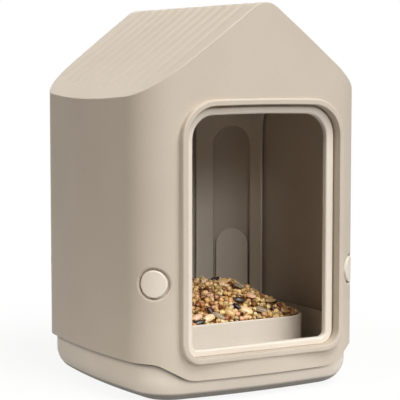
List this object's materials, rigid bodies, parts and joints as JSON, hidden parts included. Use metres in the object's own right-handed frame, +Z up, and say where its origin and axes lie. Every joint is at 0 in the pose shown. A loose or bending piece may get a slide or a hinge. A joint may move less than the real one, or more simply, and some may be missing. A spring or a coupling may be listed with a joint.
{
  "type": "bird feeder",
  "caption": "House-shaped bird feeder with a fluted gable roof, a framed front opening and a housing that unlatches at its corners and lifts off a base tub with a seed tray.",
  "frame": {"origin": "centre of the base tub's flat underside, on the surface the feeder stands on", "axes": "+Z up, the open front faces -Y, +X to the right as seen from the front"},
  "size_m": [0.17, 0.1712, 0.2471],
  "materials": {
    "housing": "matte",
    "cream_parts": "matte",
    "guides": "matte",
    "seed": "natural"
  },
  "bodies": {
    "base": {"base_tub": "cream_parts"},
    "house": {"house_shell": "housing", "front_frame": "cream_parts", "corner_guide_rear_right": "guides", "corner_guide_rear_left": "guides", "corner_guide_front_left": "guides", "corner_guide_front_right": "guides"},
    "tray": {"seed_tray": "cream_parts", "seed_heap": "seed"},
    "button_rear_right": {"button_cap_rear_right": "cream_parts"},
    "tongue_rear_right": {"latch_tongue_rear_right": "cream_parts"},
    "button_rear_left": {"button_cap_rear_left": "cream_parts"},
    "tongue_rear_left": {"latch_tongue_rear_left": "cream_parts"},
    "button_front_left": {"button_cap_front_left": "cream_parts"},
    "tongue_front_left": {"latch_tongue_front_left": "cream_parts"},
    "button_front_right": {"button_cap_front_right": "cream_parts"},
    "tongue_front_right": {"latch_tongue_front_right": "cream_parts"}
  },
  "joints": [
    {"name": "house_lift", "type": "slide", "parent": "base", "child": "house", "axis": [0, 0, 1], "range_m": [0, 0.12]},
    {"name": "tray_lift", "type": "slide", "parent": "base", "child": "tray", "axis": [0, 0, 1], "range_m": [0, 0.06]},
    {"name": "button_rear_right_press", "type": "slide", "parent": "house", "child": "button_rear_right", "axis": [-0.7071, -0.7071, 0], "range_m": [0, 0.003], "stiffness_N_per_m": 500, "springref_m": -0.002},
    {"name": "tongue_rear_right_tilt", "type": "hinge", "parent": "base", "child": "tongue_rear_right", "pos_m": [0.06494, 0.06494, 0.024], "axis": [0.7071, -0.7071, 0], "range_deg": [0, 4.5]},
    {"name": "button_rear_left_press", "type": "slide", "parent": "house", "child": "button_rear_left", "axis": [0.7071, -0.7071, 0], "range_m": [0, 0.003], "stiffness_N_per_m": 500, "springref_m": -0.002},
    {"name": "tongue_rear_left_tilt", "type": "hinge", "parent": "base", "child": "tongue_rear_left", "pos_m": [-0.06494, 0.06494, 0.024], "axis": [0.7071, 0.7071, 0], "range_deg": [0, 4.5]},
    {"name": "button_front_left_press", "type": "slide", "parent": "house", "child": "button_front_left", "axis": [0.7071, 0.7071, 0], "range_m": [0, 0.003], "stiffness_N_per_m": 500, "springref_m": -0.002},
    {"name": "tongue_front_left_tilt", "type": "hinge", "parent": "base", "child": "tongue_front_left", "pos_m": [-0.06494, -0.06494, 0.024], "axis": [-0.7071, 0.7071, 0], "range_deg": [0, 4.5]},
    {"name": "button_front_right_press", "type": "slide", "parent": "house", "child": "button_front_right", "axis": [-0.7071, 0.7071, 0], "range_m": [0, 0.003], "stiffness_N_per_m": 500, "springref_m": -0.002},
    {"name": "tongue_front_right_tilt", "type": "hinge", "parent": "base", "child": "tongue_front_right", "pos_m": [0.06494, -0.06494, 0.024], "axis": [-0.7071, -0.7071, 0], "range_deg": [0, 4.5]}
  ],
  "couplings": [
    {"joint": "tongue_rear_right_tilt", "follows": "button_rear_right_press", "rad_per_m": 25},
    {"joint": "tongue_rear_left_tilt", "follows": "button_rear_left_press", "rad_per_m": 25},
    {"joint": "tongue_front_left_tilt", "follows": "button_front_left_press", "rad_per_m": 25},
    {"joint": "tongue_front_right_tilt", "follows": "button_front_right_press", "rad_per_m": 25}
  ]
}
